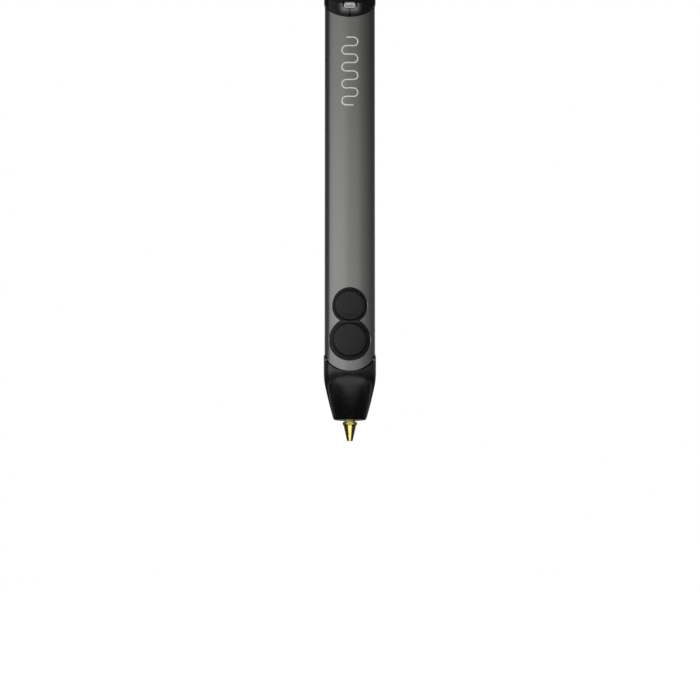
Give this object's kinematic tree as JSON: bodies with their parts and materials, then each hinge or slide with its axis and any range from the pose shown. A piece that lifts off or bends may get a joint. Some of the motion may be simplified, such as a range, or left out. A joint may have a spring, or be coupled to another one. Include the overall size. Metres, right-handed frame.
{
  "type": "three d pen",
  "caption": "Slim handheld pen that melts and extrudes a plastic strand through a brass nozzle, with speed buttons on its front, a mode slider near its tail and an oval metal body.",
  "frame": {"origin": "centre of the nozzle tip's mouth", "axes": "+Z along the pen from tip to tail, -Y the front with the buttons, +X to the right seen from the front"},
  "size_m": [0.0172, 0.0202, 0.16],
  "materials": {
    "anodised_tube": "satin, brushed along its length and anodised dark grey",
    "satin_black": "satin moulded, heat resistant",
    "frame_black": "fine satin moulding, soft edge",
    "gloss_black": "polished moulding",
    "button_black": "soft touch, fine grain",
    "silver_knob": "fine bead blasted, bright edges",
    "brass": "turned, lightly polished",
    "steel": "turned",
    "dark_steel": "black oxide",
    "ceramic_white": "unglazed alumina",
    "insulator_polymer": "heat resistant polymer, machined",
    "heat_shield_foil": "thin bright sheet",
    "guide_ptfe": "smooth, slightly waxy",
    "frame_plastic": "glass filled moulding",
    "motor_steel": "plated",
    "motor_plastic": "natural nylon",
    "board_green": "solder mask over glass laminate",
    "chip_black": "moulded package",
    "capacitor_tan": "fired body with tinned ends",
    "led_lens": "clear",
    "glass_bead": "amber glass",
    "wire_red": "silicone sleeving",
    "wire_white": "woven glass sleeving"
  },
  "bodies": {
    "pen": {"body_tube": "anodised_tube", "nose_housing": "satin_black", "switch_collar": "gloss_black", "tail_cap": "gloss_black", "maintenance_cover": "satin_black", "button_frame": "frame_black", "fast_switch_body": "dark_steel", "slow_switch_body": "dark_steel", "mode_switch_body": "frame_plastic", "nozzle": "brass", "melt_barrel": "brass", "heater_sleeve": "ceramic_white", "heat_shield": "heat_shield_foil", "insulator": "insulator_polymer", "thermistor": "glass_bead", "lower_guide_tube": "guide_ptfe", "upper_guide_tube": "guide_ptfe", "feed_bushes": "brass", "drive_bracket": "frame_plastic", "gearbox_case": "motor_steel", "motor_can": "motor_steel", "motor_end_cap": "motor_plastic", "motor_terminals": "brass", "nose_block": "frame_plastic", "chassis": "frame_plastic", "tail_block": "frame_plastic", "port_liner": "guide_ptfe", "power_jack": "gloss_black", "jack_pin": "steel", "jack_contact": "steel", "tail_screws": "dark_steel", "control_board": "board_green", "microcontroller": "chip_black", "power_drivers": "chip_black", "capacitors": "capacitor_tan", "status_led": "led_lens", "heater_leads": "wire_white", "thermistor_leads": "wire_white", "motor_leads": "wire_red", "power_leads": "wire_red"},
    "fast_button_body": {"fast_button": "button_black", "fast_switch_plunger": "frame_plastic"},
    "slow_button_body": {"slow_button": "button_black", "slow_switch_plunger": "frame_plastic"},
    "mode_slider": {"mode_knob": "silver_knob", "mode_switch_actuator": "frame_plastic"},
    "feed_gear": {"feed_nut": "steel"},
    "motor_output": {"drive_pinion": "brass", "output_shaft": "steel"}
  },
  "joints": [
    {"name": "fast_press", "type": "slide", "parent": "pen", "child": "fast_button_body", "axis": [0, 1, 0], "range_m": [0, 0.0005], "stiffness_N_per_m": 3000},
    {"name": "slow_press", "type": "slide", "parent": "pen", "child": "slow_button_body", "axis": [0, 1, 0], "range_m": [0, 0.0005], "stiffness_N_per_m": 3000},
    {"name": "mode_slide", "type": "slide", "parent": "pen", "child": "mode_slider", "axis": [1, 0, 0], "range_m": [-0.0016, 0.0016]},
    {"name": "feed_nut_spin", "type": "hinge", "parent": "pen", "child": "feed_gear", "pos_m": [0, 0, 0.057], "axis": [0, 0, 1], "continuous": true},
    {"name": "pinion_spin", "type": "hinge", "parent": "pen", "child": "motor_output", "pos_m": [0, 0.0052, 0.057], "axis": [0, 0, 1], "continuous": true}
  ],
  "couplings": [
    {"joint": "pinion_spin", "follows": "feed_nut_spin", "ratio": -1.6}
  ]
}
